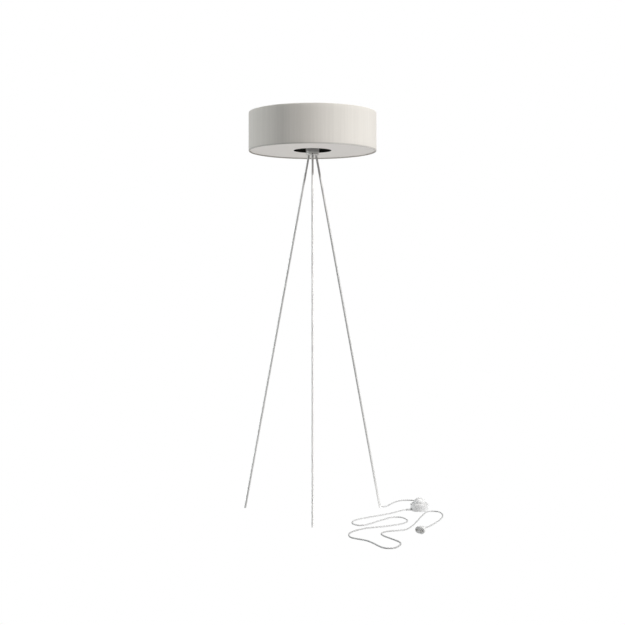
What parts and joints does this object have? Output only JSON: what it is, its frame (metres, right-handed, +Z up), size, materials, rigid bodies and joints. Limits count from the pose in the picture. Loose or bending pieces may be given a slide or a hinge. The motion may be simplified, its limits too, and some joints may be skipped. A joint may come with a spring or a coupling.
{
  "type": "tripod floor lamp",
  "caption": "Floor lamp: splayed slim tube legs on a small hub, wide round fabric drum shade with an opal disc, foot switch and plug on a cord.",
  "frame": {"origin": "on the lamp's vertical axis at floor level, at the centre of the circle of the feet", "axes": "+Z up, -Y towards the front leg, +X towards the side where the foot switch lies"},
  "size_m": [0.7837, 1.1051, 1.5701],
  "materials": {
    "satin_steel": "satin, fine lengthwise grain",
    "white_wire": "white painted wire",
    "cap_plastic": "moulded, matt",
    "dark_steel": "blackened",
    "plated_steel": "zinc plated",
    "shade_fabric": "woven ivory textile",
    "shade_liner": "smooth white film",
    "opal_disc": "opal, glossy",
    "black_paint": "matt black",
    "holder_plastic": "moulded",
    "brass": "bare",
    "opal_globe": "opal",
    "cord_pvc": "smooth flexible white",
    "switch_plastic": "fine moulded texture",
    "pad_rubber": "soft, matt",
    "dark_plastic": "moulded",
    "plug_plastic": "moulded",
    "nickel_pins": "nickel plated"
  },
  "bodies": {
    "root": {"leg_front": "satin_steel", "leg_left": "satin_steel", "leg_right": "satin_steel", "foot_cap_front": "cap_plastic", "foot_cap_left": "cap_plastic", "foot_cap_right": "cap_plastic", "leg_carrier": "satin_steel", "leg_grub_screws": "dark_steel", "column_sleeve": "satin_steel", "sleeve_screws": "satin_steel", "column_cap": "satin_steel", "shade_rod": "plated_steel", "rod_nuts": "plated_steel", "finial": "plated_steel", "shade_fitter": "white_wire", "bottom_ring": "white_wire", "shade_fabric": "shade_fabric", "shade_liner": "shade_liner", "diffuser": "opal_disc", "glare_shield": "black_paint", "holder_rear": "holder_plastic", "holder_left": "holder_plastic", "holder_right": "holder_plastic", "holder_nipples": "plated_steel", "holder_contacts": "brass", "bulb_rear": "opal_globe", "bulb_left": "opal_globe", "bulb_right": "opal_globe", "bulb_base_rear": "plated_steel", "bulb_base_left": "plated_steel", "bulb_base_right": "plated_steel", "terminal_block": "holder_plastic", "terminal_screws": "plated_steel", "holder_leads": "cord_pvc", "leg_lead": "cord_pvc", "cord_grommet": "cap_plastic", "switch_pad": "pad_rubber", "switch_base": "switch_plastic", "switch_screws": "plated_steel", "switch_cover": "switch_plastic", "contact_block": "dark_plastic", "switch_terminals": "brass", "cord_clamps": "holder_plastic", "switch_leads": "cord_pvc", "button_spring": "plated_steel", "relief_in": "cord_pvc", "relief_out": "cord_pvc", "cord_leg_to_switch": "cord_pvc", "cord_switch_to_plug": "cord_pvc", "plug_relief": "cord_pvc", "plug_body": "plug_plastic", "plug_pins": "nickel_pins"},
    "button": {"switch_button": "switch_plastic", "button_plunger": "switch_plastic"}
  },
  "joints": [
    {"name": "button_press", "type": "slide", "parent": "root", "child": "button", "axis": [0, 0, -1], "range_m": [0, 0.004], "stiffness_N_per_m": 900, "springref_m": -0.002, "deforming": ["button_spring"]}
  ]
}
